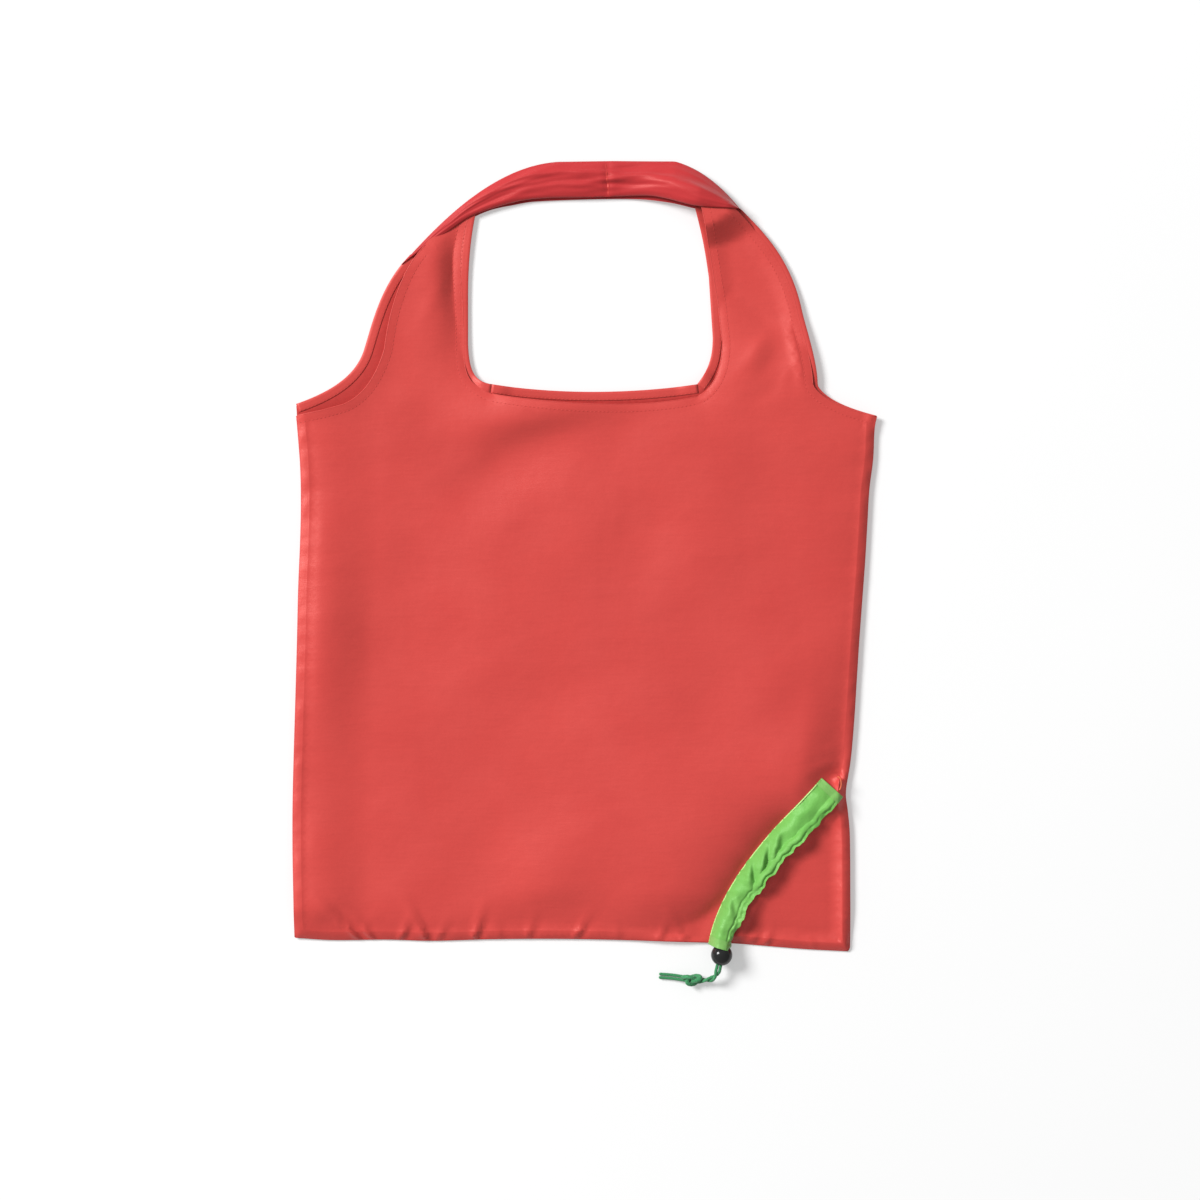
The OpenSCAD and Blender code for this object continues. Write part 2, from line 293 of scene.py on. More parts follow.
# Folds of the two straps, written like the swells
STRAP_FOLDS = [
    (112, 136, 13, 3.4, 55, 0.6), (-98, 170, 16, 4, 60, 0.4), (104, 190, 18, 6, 70, 0.5),
    (126, 160, 16, 5, 105, 0.5), (132, 118, 10, 3.6, 70, 0.5), (120, 108, 16, 6, 30, -0.6),
]
# Small puckers at the bottom seam: where along X, how far in, lean, height
PUCKERS = [
    (-148, 22, -1.0, 2.4), (-139, 14, -0.8, 1.6), (-121, 11, 0.4, 1.6), (-104, 18, -0.5, 2.2),
    (-97, 9, 0.5, 1.2), (-73, 15, 0.3, 2.0), (-55, 8, -0.4, 0.8), (-38, 11, 0.3, 1.2),
    (-7, 13, 0.6, 1.6), (22, 8, -0.3, 0.8), (48, 10, 0.4, 1.0), (66, 14, -0.6, 1.4),
    (108, 10, 0.5, 1.0), (118, 9, 0.3, 1.3), (150, 8, -0.4, 0.6),
]


def seams(p):
    """near() for the left, right and bottom edges, and the distance to the nearest of them."""
    parts = [near(p, even(line, 5)) for line in (left_side, right_side, bottom_side)]
    return parts, np.min([d for d, _ in parts], axis=0)


def from_channel(p):
    """Distance from the channel's middle line, minus on its upper left, and how far along it is, 0 to 1."""
    line = even(channel_line, 4)
    d, s = near(p, line)
    t = np.clip(s / (4.0 * (len(line) - 1)), 0, 1)
    i = np.clip((t * (len(line) - 1)).astype(int), 0, len(line) - 2)
    a, b = line[i], line[i + 1]
    way = (b - a)[:, 0] * (p - a)[:, 1] - (b - a)[:, 1] * (p - a)[:, 0]
    return np.where(way < 0, -d, d), t


def left_ridge(p):
    """How strongly the left side stands up along its soft ridge, 0.4 to 1: most of all in two places."""
    y = p[:, 1]
    return 0.4 + 0.6 * bell(y + 45, 68) + 0.4 * bell(y + 218, 36)


def rim_lift(p, parts):
    """How far the sewn edge itself stands off the table: along both sides, and where the bead lifts it."""
    left, right, low = (d for d, _ in parts)
    x, y = p[:, 0], p[:, 1]
    return (0.3 + (4.0 + 4.4 * left_ridge(p)) * np.exp(-left / 30) * step_up(y, -256, -230)
            + 2.8 * np.exp(-right / 14) * step_up(y, -262, -225)
            + 2.6 * bell(x - 56, 20) * np.exp(-low / 18)
            + 0.8 * bell(x + 20, 90) * np.exp(-low / 12))


def turned(p, x, y, heading):
    """How far each point is from x, y, along that heading and across it."""
    c, s = math.cos(math.radians(heading)), math.sin(math.radians(heading))
    return (p[:, 0] - x) * c + (p[:, 1] - y) * s, (p[:, 1] - y) * c - (p[:, 0] - x) * s


def swell(p, x, y, a, b, heading, h):
    """A soft oval rise, or a dip where h is below 0."""
    u, v = turned(p, x, y, heading)
    return h * np.exp(-((u / a) ** 2 + (v / b) ** 2))


def fall(p, x, y, a, b, heading, h):
    """A slope that drops along its heading, and levels out again before and after."""
    u, v = turned(p, x, y, heading)
    u, v = u / a, v / b
    return -0.62 * h * np.tanh(1.6 * u) * np.exp(-((u / 2.6) ** 2 + v * v))


def with_wrinkles(z, p, parts, d):
    """Soft wrinkles all over, sharper ones that start at the side seams, and puckers at the bottom seam."""
    (left, left_at), (right, right_at), (low, _) = parts
    z += 0.9 * ridge_noise(p * (1, 1.3), 74, 3.1, 2) * step_up(d, 1, 16)
    z += 0.10 * ridge_noise(p * (0.6, 2.6), 22, 8.7, 3)
    side = np.minimum(left, right)
    tug = noise_at(np.where(left < right, left_at, right_at) / 9.0, np.where(left < right, 0.0, 7.0), 4.2)
    z += tug * np.exp(-side / 8) * step_up(side, 0.2, 3)
    for x, far, lean, h in PUCKERS:
        u = p[:, 0] - x - lean * low
        fade = bell(low, far) * step_up(low, -1, 2.5)
        z += h * (bell(u, 1.6 + 0.10 * low) - 0.5 * bell(u - 4.5, 3.0)) * fade
    return z


def with_channel(z, p, d):
    """Beside the drawcord channel the cloth bulges, and is drawn down to the strip's stitching."""
    dc, t = from_channel(p)
    away = np.maximum(np.abs(dc) - 8.5, 0)
    bulge = 7.0 * bell(away, 60) * step_up(d, 4, 34)
    near_strip = 12.8 * np.exp(-away / 19) * (0.3 + 0.7 * step_up(t, 0.05, 0.4))
    near_strip *= 1 - 0.2 * step_up(t, 0.65, 0.9)
    right_of = -3.4 * step_up(d, 2, 12) + (5.4 + 1.4 * np.sin(t * 26)) * bell(away, 5.8)
    over = step_up(dc, -7, 7)
    z += (bulge - near_strip * step_up(d, 0, 6)) * (1 - over) + right_of * step_up(d, 0, 9) * over
    tuck = noise_at(t * 15.0, np.sign(dc), 1.7)
    z += 1.5 * tuck * np.exp(-away / 6) * step_up(np.abs(dc), 3, 9) * step_up(d, 0, 5)
    return z


def with_open_edges(z, p, d):
    """Most open edges lie lower; each has a raised hem, with a stitched groove along its inner edge."""
    for line in front_open:
        e, _ = near(p, even(line, 4))
        z += 0.22 * (1 - step_up(e, 4.6, 6.2)) - 0.16 * bell(e - 4.9, 0.6)
        drop = 1.2 if line is front_mouth else -1.6 if line is front_arm_left else 1.9
        z -= drop * np.exp(-e / 7) * step_up(d, 0, 8)
    return z


def arm_lift(p):
    """The right strap stands up along its outer edge, most of all at its foot."""
    e, _ = near(p, even(back_arm_right, 4))
    lift = 2.2 * bell(e, 15) + 0.8 * bell(e, 26)
    return lift * step_up(p[:, 1], 88, 122) * (1 - 0.8 * step_up(p[:, 1], 135, 200))


def grip_rise(x):
    """Where the grips stand highest, 0 to 1: just before their right ends."""
    return step_up(x, 22, 76) * (1 - 0.8 * step_up(x, 92, 112))


def under_grips(p, a, b):
    """0 on the straps and 1 under the grips, which lie in an arch; from a to b is the step between."""
    return step_up(p[:, 1] + 0.22 * np.abs(p[:, 0] - 5), a, b)


def with_straps(z, p):
    """The straps' folds and crest, their ends under the grips, and the dark slope at the right one's end."""
    x, y = p[:, 0], p[:, 1]
    z -= 1.4 * step_up(y, 96, 150)
    e, _ = near(p, even(front_arm_right, 4))
    z += arm_lift(p) + 1.2 * bell(e - 8, 2.4) * step_up(y, 105, 125)
    for place in STRAP_FOLDS:
        z += swell(p, *place)
    under = under_grips(p, 214, 246)
    high = STRAP_TOP + STRAP_RISE * step_up(x, 20, 72)
    z = z * (1 - under) + high * under
    z += fall(p, 90, 217.5, 29, 36, -46, 20.0) * (1 - step_up(y, 228, 236)) * step_up(x, 62, 74)
    z += swell(p, 84, 226, 22, 14, -46, -1.0)
    # no higher than the grip over it; the 50 lifts this limit away from the rest of the bag
    free = 50 * (1 - step_up(x, 40, 66) * step_up(y, 196, 208))
    return np.minimum(z, STRAP_TOP + STRAP_RISE * grip_rise(x) + free)


def front_height(p):
    """How high the top of the bag's front lies at each point."""
    parts, d = seams(p)
    left, right, low = (q for q, _ in parts)
    rim = 1.2 + rim_lift(p, parts)
    edge = np.maximum(np.maximum(np.exp(-left / 9), np.exp(-right / 5)), np.exp(-low / 9))
    z = 6.4 + 1.4 * step_up(p[:, 0], -130, 60)
    z += 6.4 * left_ridge(p) * (1 - step_up(left, 10, 50)) * step_up(p[:, 1], -252, -225)
    z = z - (z - rim) * edge
    z += 0.6 * step_up(d, 0.2, 1.6) * (1 - step_up(d, 5.6, 7.6))
    for place in FALLS:
        z += fall(p, *place) * step_up(d, 1, 12)
    for place in SWELLS:
        z += swell(p, *place) * step_up(d, 2, 14)
    z = with_channel(with_wrinkles(z, p, parts, d), p, d)
    z = with_open_edges(np.maximum(z, LEAST_FRONT), p, d)
    return np.maximum(with_straps(z, p), back_height(p) + LAYER_GAP)


def back_height(p):
    """How high the top of the bag's back lies at each point."""
    parts, d = seams(p)
    z = 0.45 + 0.8 * rim_lift(p, parts) + 0.3 * (1 + ridge_noise(p, 50, 5.9, 2)) * step_up(d, 2, 20)
    dc, _ = from_channel(p)
    z += 1.2 * np.exp(-((dc / 11.5) ** 4)) * step_up(d, -1, 4) + 0.85 * arm_lift(p)
    for line in back_open:
        e, s = near(p, even(line, 4))
        lift = 2.8 if line is back_mouth else 1.3
        z += 0.4 * (1 + np.sin(s / 14.0)) * np.exp(-e / 8) + lift * (1 - step_up(e, 6, 15))
    under = under_grips(p, 230, 247)
    z = z * (1 - under) + (2.9 + 5.6 * grip_rise(p[:, 0])) * under
    return np.maximum(z, 0.42)


# ---------------- meshes
def link(name, points, faces):
    """A new smooth-shaded object in the scene, from points in mm."""
    mesh = bpy.data.meshes.new(name)
    mesh.from_pydata((np.array(points) * MM).tolist(), [], faces)
    mesh.update()
    o = bpy.data.objects.new(name, mesh)
    scene.collection.objects.link(o)
    mesh.shade_smooth()
    return o


def ring_faces(rings, sides, first=0, closed=False):
    """Faces between rings of points, from point first on; closed also joins the last ring to the first."""
    faces = []
    for i in range(rings if closed else rings - 1):
        a, b = first + i * sides, first + (i + 1) % rings * sides
        for j in range(sides):
            k = (j + 1) % sides
            faces.append((a + j, a + k, b + k, b + j))
    return faces


def flat_net(rim, rows, gap):
    """A net of triangles that fills an outline, with rows of points along its rim."""
    rim = even(np.vstack([rim, rim[:1]]), 2.2)[:-1]
    points = [rim]
    for w in rows:
        row = beside(np.vstack([rim[-1:], rim, rim[:1]]), w)[1:-1]
        row = row[inside(row, rim)]
        d, _ = near(row, rim, True)
        points.append(row[d > w * 0.93])
    lo, hi = rim.min(0), rim.max(0)
    xs, ys = np.arange(lo[0], hi[0], gap), np.arange(lo[1], hi[1], gap * 0.866)
    grid = np.array([(x + (gap / 2 if j % 2 else 0), y) for j, y in enumerate(ys) for x in xs])
    grid = grid[inside(grid, rim)]
    d, _ = near(grid, even(np.vstack([rim, rim[:1]]), 4), True)
    points.append(grid[d > rows[-1] + gap * 0.6])
    p = np.vstack(points)
    n = len(rim)
    got = delaunay_2d_cdt([Vector(q) for q in p], [(i, (i + 1) % n) for i in range(n)], [], 1, 1e-6)
    net = np.array([tuple(v) for v in got[0]])
    tris = np.array([tuple(f) for f in got[2]])
    area = np.cross(net[tris[:, 1]] - net[tris[:, 0]], net[tris[:, 2]] - net[tris[:, 0]])
    tris[area < 0] = tris[area < 0][:, ::-1]
    return net, tris


def cloth(name, rim, rows, gap, height, thick, cut):
    """The cloth of one side of the bag, as two pieces that share the points on the cut."""
    net, tris = flat_net(rim, rows, gap)
    top = np.column_stack([net, height(net)])
    a, b, c = (top[tris[:, i]] for i in range(3))
    face = np.cross(b - a, c - a)
    normal = np.zeros_like(top)
    for i in range(3):
        np.add.at(normal, tris[:, i], face)
    normal /= np.linalg.norm(normal, axis=1)[:, None]
    low = top - normal * thick
    low[:, 2] = np.maximum(low[:, 2], SHEET_CLEAR)
    mid = net[tris].mean(1)[:, 1]
    out = []
    for part, chosen in (("low", mid < cut), ("high", mid >= cut)):
        use = np.unique(tris[chosen])
        at = {v: i for i, v in enumerate(use)}
        n = len(use)
        faces = [tuple(at[v] for v in t) for t in tris[chosen]]
        faces += [tuple(at[v] + n for v in t[::-1]) for t in tris[chosen]]
        edges = {(t[i], t[(i + 1) % 3]) for t in tris[chosen] for i in range(3)}
        open_ones = [e for e in sorted(edges) if (e[1], e[0]) not in edges]
        faces += [(at[j], at[i], at[i] + n, at[j] + n) for i, j in open_ones]
        o = link(f"{name}_{part}", np.vstack([top[use], low[use]]), faces)
        o.data.normals_split_custom_set_from_vertices(np.vstack([normal[use], -normal[use]]).tolist())
        out.append(o)
    return out


def shell(name, line_a, line_b, across, top, thick):
    """A closed band between two edges; top(u, v, xy) is its height, u 0 to 1 along and v 0 to 1 across."""
    n = max(len(line_a), len(line_b))
    a, b = even(line_a, 0, n), even(line_b, 0, n)
    u, v = np.meshgrid(np.linspace(0, 1, n), np.linspace(0, 1, across), indexing="ij")
    xy = a[:, None, :] * (1 - v[..., None]) + b[:, None, :] * v[..., None]
    z = top(u, v, xy)
    up = np.concatenate([xy, z[..., None]], 2).reshape(-1, 3)
    down = up.copy()
    down[:, 2] = np.maximum(down[:, 2] - thick, BAND_CLEAR)
    k = n * across
    faces = []
    for i in range(n - 1):
        for j in range(across - 1):
            q = (i * across + j, (i + 1) * across + j, (i + 1) * across + j + 1, i * across + j + 1)
            faces += [q, tuple(x + k for x in q[::-1])]
    ring = ([i * across for i in range(n)] + [(n - 1) * across + j for j in range(1, across)]
            + [i * across + across - 1 for i in range(n - 2, -1, -1)] + list(range(across - 2, 0, -1)))
    for x, y in zip(ring, ring[1:] + ring[:1]):
        faces.append((y, x, x + k, y + k))
    o = link(name, np.vstack([up, down]), faces)
    o.data.validate()
    bm = bmesh.new()
    bm.from_mesh(o.data)
    bmesh.ops.recalc_face_normals(bm, faces=bm.faces)
    bm.to_mesh(o.data)
    bm.free()
    o.data.shade_smooth()
    o.data.set_sharp_from_angle(angle=math.radians(55))
    return o


def tube(name, path, radius, sides=12, twist=None):
    """A tube along a path; twist(s, a) scales its radius at s along and angle a, which makes a braid."""
    path = np.array(path, float)
    d = np.gradient(path, axis=0)
    d /= np.linalg.norm(d, axis=1)[:, None]
    s = lengths_along(path)
    u = np.cross(d[0], (0, 0, 1.0))
    if np.linalg.norm(u) < 0.1:
        u = np.cross(d[0], (0, 1.0, 0))
    points = []
    for i in range(len(path)):
        u = u - d[i] * (u @ d[i])
        u /= np.linalg.norm(u)
        v = np.cross(d[i], u)
        for j in range(sides):
            a = 2 * math.pi * j / sides
            blunt = math.sqrt(max(0.06, 1 - max(0.0, 1 - min(s[i], s[-1] - s[i]) / radius) ** 2))
            r = radius * blunt * (twist(s[i], a) if twist else 1)
            points.append(path[i] + r * (math.cos(a) * u + math.sin(a) * v))
    n = len(path)
    faces = ring_faces(n, sides)
    points += [path[0], path[-1]]
    for j in range(sides):
        faces.append((n * sides, (j + 1) % sides, j))
        faces.append((n * sides + 1, (n - 1) * sides + j, (n - 1) * sides + (j + 1) % sides))
    return link(name, points, faces)


def sweep(name, line, loop):
    """A closed section carried along a line; loop(line) gives a row of 3-D points for each of its corners."""
    rows = np.stack(loop(line), 1)
    n, m = rows.shape[:2]
    faces = ring_faces(n, m)
    faces += [tuple(range(m))[::-1], tuple((n - 1) * m + j for j in range(m))]
    return link(name, rows.reshape(-1, 3), faces)


def placed(line, w, height, h):
    """The line moved w into the cloth, at h over the cloth's own height."""
    at = beside(line, -w)
    foot = beside(line, -max(w, 0))
    return np.column_stack([at, np.maximum(height(foot) + h, BAND_CLEAR)])


def hem(name, line, height, over):
    """The edge of the cloth, turned back on itself: over the cloth, or under it."""
    shape = [(0.2, 0.02), (-0.15, -0.02), (-0.36, -0.2), (-0.36, -0.45), (-0.1, -0.66), (1.5, -0.7),
             (3.5, -0.7), (5.3, -0.68), (5.6, -0.53), (5.3, -0.38), (3.5, -0.37), (1.5, -0.37),
             (0.2, -0.36)]
    if over:
        shape = [(w, -0.35 - h) for w, h in shape]
    return sweep(name, even(line, 2.0), lambda q: [placed(q, w, height, h) for w, h in shape])


def under_grip(line):
    """The line, carried on 4 mm past its upper end."""
    if line[0, 1] > line[-1, 1]:
        return np.vstack([3 * line[0] - 2 * line[1], line])
    return np.vstack([line, 3 * line[-1] - 2 * line[-2]])


def stitches(name, line, height, rise=0.08, pitch=2.7, gap=0.8, thick=0.2, under=False):
    """A row of machine stitches along a line, on the cloth or on its underside."""
    line = even(line, 0.3)
    at = lengths_along(line)
    points, faces = [], []
    s = 0.6
    while s + pitch < at[-1]:
        u = s + np.array([0, 0.18, 0.5, 0.82, 1.0]) * (pitch - gap)
        xy = np.stack([np.interp(u, at, line[:, 0]), np.interp(u, at, line[:, 1])], 1)
        dip = np.array([0.3, 0.06, 0, 0.06, 0.3])
        xyz = np.column_stack([xy, height(xy) - 0.42 + dip * 0.6 if under else height(xy) + rise - dip])
        d = xy[-1] - xy[0]
        d /= max(np.linalg.norm(d), 1e-6)
        k = len(points)
        for q, r in zip(xyz, thick * np.array([0.45, 0.9, 1, 0.9, 0.45])):
            for j in range(6):
                a = math.pi * j / 3
                points.append((q[0] - d[1] * r * math.cos(a), q[1] + d[0] * r * math.cos(a),
                               q[2] + r * math.sin(a)))
        faces += ring_faces(5, 6, k)
        faces += [tuple(k + j for j in range(6))[::-1], tuple(k + 24 + j for j in range(6))]
        s += pitch
    return link(name, points, faces)


def seam(name, line):
    """The sewn edge between the two sheets: its rounded outside, and the strip of cloth turned inside."""
    def loop(q):
        def row(w, z):
            return np.column_stack([beside(q, w), z])

        back = [back_height(beside(q, w)) for w in (0, 0.6, SEAM_DEPTH)]
        front = [front_height(beside(q, w)) for w in (0, 0.6, SEAM_DEPTH)]
        return [row(-0.2, back[0] - 0.1), row(-0.55, back[0] * 0.6 + front[0] * 0.4),
                row(-0.5, back[0] * 0.3 + front[0] * 0.7), row(-0.15, front[0] - 0.05),
                row(0.6, front[1] - 0.33), row(SEAM_DEPTH, np.minimum(front[2] - 0.5, back[2] + 2.0)),
                row(SEAM_DEPTH, back[2] + 0.06), row(0.6, back[1] + 0.02)]
    return sweep(name, even(line, 2.2), loop)


# ---------------- materials
class Paint:
    """A material of nodes, with one Principled shader."""

    def __init__(self, name, **shader):
        self.m = bpy.data.materials.new(name)
        self.m.use_nodes = True
        self.t = self.m.node_tree
        self.t.nodes.clear()
        self.s = self.add("BsdfPrincipled", values={k.replace("_", " "): v for k, v in shader.items()})
        self.add("OutputMaterial", {"Surface": self.s.outputs[0]})
        self.at = self.add("TexCoord").outputs["Object"]

    def add(self, kind, links=None, values=None, **props):
        """A new node, with what its inputs are linked to or set to."""
        n = self.t.nodes.new("ShaderNode" + kind)
        for k, v in props.items():
            setattr(n, k, v)
        for k, v in (values or {}).items():
            n.inputs[k].default_value = v
        for k, v in (links or {}).items():
            self.t.links.new(v, n.inputs[k])
        return n

    def noise(self, scale, detail=3.0, rough=0.5):
        """Noise, with more and smaller features for a greater scale."""
        values = {"Scale": scale, "Detail": detail, "Roughness": rough}
        return self.add("TexNoise", {"Vector": self.at}, values).outputs["Fac"]

    def streak(self, along, across):
        """Noise drawn out along the weft, in features of those sizes in metres."""
        scale = (1 / along, 1 / across, 1 / across)
        at = self.add("Mapping", {"Vector": self.at}, {"Scale": scale}).outputs[0]
        values = {"Scale": 1.0, "Detail": 3.0, "Roughness": 0.6}
        return self.add("TexNoise", {"Vector": at}, values).outputs["Fac"]

    def wave(self, pitch, way):
        """Threads side by side, that many metres apart."""
        values = {"Scale": 0.314 / pitch, "Distortion": 0.0, "Detail": 1.0}
        return self.add("TexWave", {"Vector": self.at}, values, bands_direction=way).outputs["Fac"]

    def math(self, what, a, b):
        n = self.add("Math", operation=what)
        for i, v in enumerate((a, b)):
            if isinstance(v, float):
                n.inputs[i].default_value = v
            else:
                self.t.links.new(v, n.inputs[i])
        return n.outputs[0]

    def ramp(self, fac, lo, hi):
        n = self.add("MapRange", {"Value": fac}, {"From Min": lo, "From Max": hi})
        return n.outputs["Result"]

    def mix(self, fac, a, b):
        n = self.add("Mix", data_type="RGBA")
        for i, v in ((0, fac), (6, a), (7, b)):
            if isinstance(v, (float, tuple)):
                n.inputs[i].default_value = (*v, 1.0) if isinstance(v, tuple) else v
            else:
                self.t.links.new(v, n.inputs[i])
        return n.outputs[2]

    def bump(self, height, distance, strength=1.0, under=None):
        links = {"Height": height}
        if under:
            links["Normal"] = under
        return self.add("Bump", links, {"Distance": distance, "Strength": strength}).outputs[0]

    def finish(self, colour, normal=None, rough=None):
        self.t.links.new(colour, self.s.inputs["Base Color"])
        if normal:
            self.t.links.new(normal, self.s.inputs["Normal"])
        if rough:
            self.t.links.new(rough, self.s.inputs["Roughness"])
        return self.m


def fabric(name, main, deep, weave=0.00032, crinkle=0.0005, **shader):
    """Thin woven polyester: crossing threads, faint crinkles, and slight changes of colour."""
    values = dict(Roughness=0.5, Sheen_Weight=0.03, Sheen_Roughness=0.45, Specular_IOR_Level=0.42,
                  Specular_Tint=(1.0, 0.55, 0.5, 1.0))
    values.update(shader)
    p = Paint(name, **values)
    threads = p.math("MAXIMUM", p.wave(weave, "X"), p.wave(weave, "Y"))
    patch = p.ramp(p.noise(11, 4, 0.55), 0.32, 0.68)
    fleck = p.ramp(p.noise(900, 2, 0.6), 0.35, 0.75)
    colour = p.mix(p.math("MULTIPLY", patch, 0.55), main, deep)
    colour = p.mix(p.math("MULTIPLY", fleck, 0.10), colour, tuple(0.55 * c for c in deep))
    slub = p.streak(0.015, 0.0022)
    colour = p.mix(p.math("MULTIPLY", p.ramp(slub, 0.45, 0.75), 0.10), colour, tuple(0.7 * c for c in deep))
    colour = p.mix(p.math("MULTIPLY", threads, 0.12), colour, tuple(min(1, c * 1.35 + 0.02) for c in main))
    low = p.bump(slub, 0.0004, 0.22, p.bump(p.noise(60 if crinkle < 0.001 else 150, 4, 0.5), crinkle, 0.6))
    return p.finish(colour, p.bump(threads, 0.00004, 0.5, low), p.ramp(p.noise(30, 3), -0.6, 2.2))


red = fabric("red_polyester", (0.51, 0.052, 0.045), (0.46, 0.042, 0.038))
# a darker, more crimson copy of the red cloth for the grips: painted shade for their gathered folds
red_grip_painted_shade = fabric("red_polyester_grip", (0.435, 0.030, 0.033), (0.38, 0.023, 0.027), Specular_IOR_Level=0.3)
red_hem = fabric("red_hem", (0.475, 0.038, 0.034), (0.41, 0.028, 0.027))
# a slightly darker copy of the red cloth for the back sheet: painted shade, for the side that lies under the
# front and in its shadow
red_inside_painted_shade = fabric("red_inside_painted_shade", (0.49, 0.044, 0.039), (0.43, 0.034, 0.032))
red_thread = fabric("red_thread", (0.54, 0.058, 0.050), (0.44, 0.036, 0.032), weave=0.0002, Roughness=0.7)
green_look = dict(Specular_Tint=(0.7, 1.0, 0.6, 1.0), Specular_IOR_Level=0.22, Roughness=0.65,
                  crinkle=0.0011)
green = fabric("green_polyester", (0.125, 0.385, 0.070), (0.145, 0.32, 0.078), **green_look)
green_hem = fabric("green_hem", (0.17, 0.38, 0.095), (0.13, 0.31, 0.075), **green_look)
# pale green thread for the strip's stitches and its piping; on the piping the pale colour also paints the
# highlight of the lit left edge
green_thread_and_edge_highlight = fabric("green_thread_and_edge_highlight", (0.40, 0.66, 0.22), (0.25, 0.52, 0.14), weave=0.0002, Roughness=0.7)
orange_thread = fabric("orange_thread", (0.72, 0.16, 0.07), (0.62, 0.10, 0.05), weave=0.0002, Roughness=0.7)


def braid_paint():
    """The cord's threads: two greens, with a few pale specks."""
    p = Paint("green_braid", Roughness=0.75, Sheen_Weight=0.3, Specular_IOR_Level=0.3)
    colour = p.mix(p.ramp(p.noise(1400, 2), 0.3, 0.7), (0.016, 0.135, 0.048), (0.036, 0.24, 0.085))
    colour = p.mix(p.ramp(p.noise(300, 3), 0.55, 0.9), colour, (0.08, 0.36, 0.15))
    return p.finish(colour, p.bump(p.noise(2600, 2), 0.00012, 0.6))


def bead_paint():
    """Moulded black plastic, fairly smooth."""
    p = Paint("black_plastic", Roughness=0.14, Specular_IOR_Level=0.28)
    colour = p.mix(p.ramp(p.noise(120, 3), 0.3, 0.8), (0.0105, 0.0110, 0.0108), (0.017, 0.018, 0.0175))
    return p.finish(colour, p.bump(p.noise(450, 3), 0.00003, 0.35), p.ramp(p.noise(260, 4), -0.25, 4.0))


braid = braid_paint()
black = bead_paint()


def dress(o, paint, body=None, across=None, stands_for=()):
    """Gives a piece its material and hangs it on its body; a piece that crosses a joint only has its
    transform baked into its mesh.
    """
    o.data.materials.clear()
    o.data.materials.append(paint)
    if across == "fold":
        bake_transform(o)
    elif across:
        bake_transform(o)
    else:
        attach(o, body)
    if stands_for:
        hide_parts(*stands_for)
    return o


# ---------------- the drawcord's free end
def strand(s, a):
    """The raised threads of a round braid."""
    q = 2 * math.pi * s / BRAID_PITCH
    return 0.92 + 0.10 * max(math.sin(4 * a + q), math.sin(4 * a - q))


pull = np.array([math.cos(math.radians(256)), math.sin(math.radians(256)), 0])
bead = np.array([89.3, -260.4, 9.35])
knot = np.array([69.9, -277.2, 4])
free_line = np.array([*(bead + d * pull for d in (-28, -22, -16, -10, -4, 2, 8, 11.2)),
                      (85.3, -274.3, 8.4), (82.5, -276.4, 7), (78.8, -277.3, 5.6), (74.6, -277.5, 4.5),
                      knot, (64.5, -276.4, 2.7), (57, -275.4, 1.6), (48.4, -274.8, 1.3)])


def strand_path(side):
    """One strand of the doubled cord; between the bead and the knot the two turn once around each other."""
    way = np.gradient(free_line, axis=0)
    way /= np.linalg.norm(way, axis=1)[:, None]
    flat = np.cross(way, (0, 0, 1.0))
    turn = math.pi * np.clip(np.arange(len(free_line)) - 7.0, 0, 4)[:, None] / 2
    return free_line + side * STRAND_OFFSET * (np.cos(turn) * flat + np.sin(turn) * np.cross(flat, way))


for key, side in (("a", -1), ("b", 1)):
    path = strand_path(side)
    o = tube(f"drawcord_{key}", smooth(path, 0.28), STRAND, 16, twist=strand)
    dress(o, braid, "cord_end", stands_for=(f"cord_end_{key}",))

# the knot: the doubled cord tied once round itself
t = np.linspace(0.35, 2 * math.pi + 0.05, 240)
axis = np.array([-1, -0.05, -0.16])
axis /= np.linalg.norm(axis)
side_way = np.cross(axis, (0, 0, 1.0))
side_way /= np.linalg.norm(side_way)
up_way = np.cross(side_way, axis)
wrap = (knot + (0, 0.2, 0.4) + np.outer(2.15 * (np.sin(t) + 2 * np.sin(2 * t)), axis)
        + np.outer(1.0 * (np.cos(t) - 2 * np.cos(2 * t)), side_way) + np.outer(-1.75 * np.sin(3 * t), up_way))
knot_piece = tube("drawcord_knot", even(wrap, 0.3), 1.5, 16, twist=strand)
dress(knot_piece, braid, "cord_end", stands_for=("cord_knot",))


def lathe(name, profile, centre, way, sides=72):
    """A closed profile of radius and height, turned round a centre; its heights are along way."""
    u = np.cross(way, (0, 0, 1.0))
    v = np.cross(way, u)
    angles = [2 * math.pi * j / sides for j in range(sides)]
    points = [centre + h * way + r * (math.cos(a) * u + math.sin(a) * v) for r, h in profile for a in angles]
    return link(name, points, ring_faces(len(profile), sides, closed=True))


# the bead: a turned ball with a rounded bore
mouth_angle = math.degrees(math.asin(BORE_MOUTH / BALL))
profile = [(BALL * math.sin(math.radians(a)), BALL * math.cos(math.radians(a)))
           for a in np.linspace(mouth_angle, 180 - mouth_angle, 44)]
h = profile[0][1]
# the rounded ends of the bore: radius, and how deep inside it
lip = [(2.62, 0.02), (2.5, 0.14), (BORE, 0.4)]
profile += [(r, -h + deep) for r, deep in lip] + [(BORE, x) for x in np.linspace(-h + 1, h - 1, 8)]
profile += [(r, h - deep) for r, deep in reversed(lip)]
ball = lathe("ball_stopper_bead", profile, bead, pull)
dress(ball, black, "stopper", stands_for=("ball_stopper",))

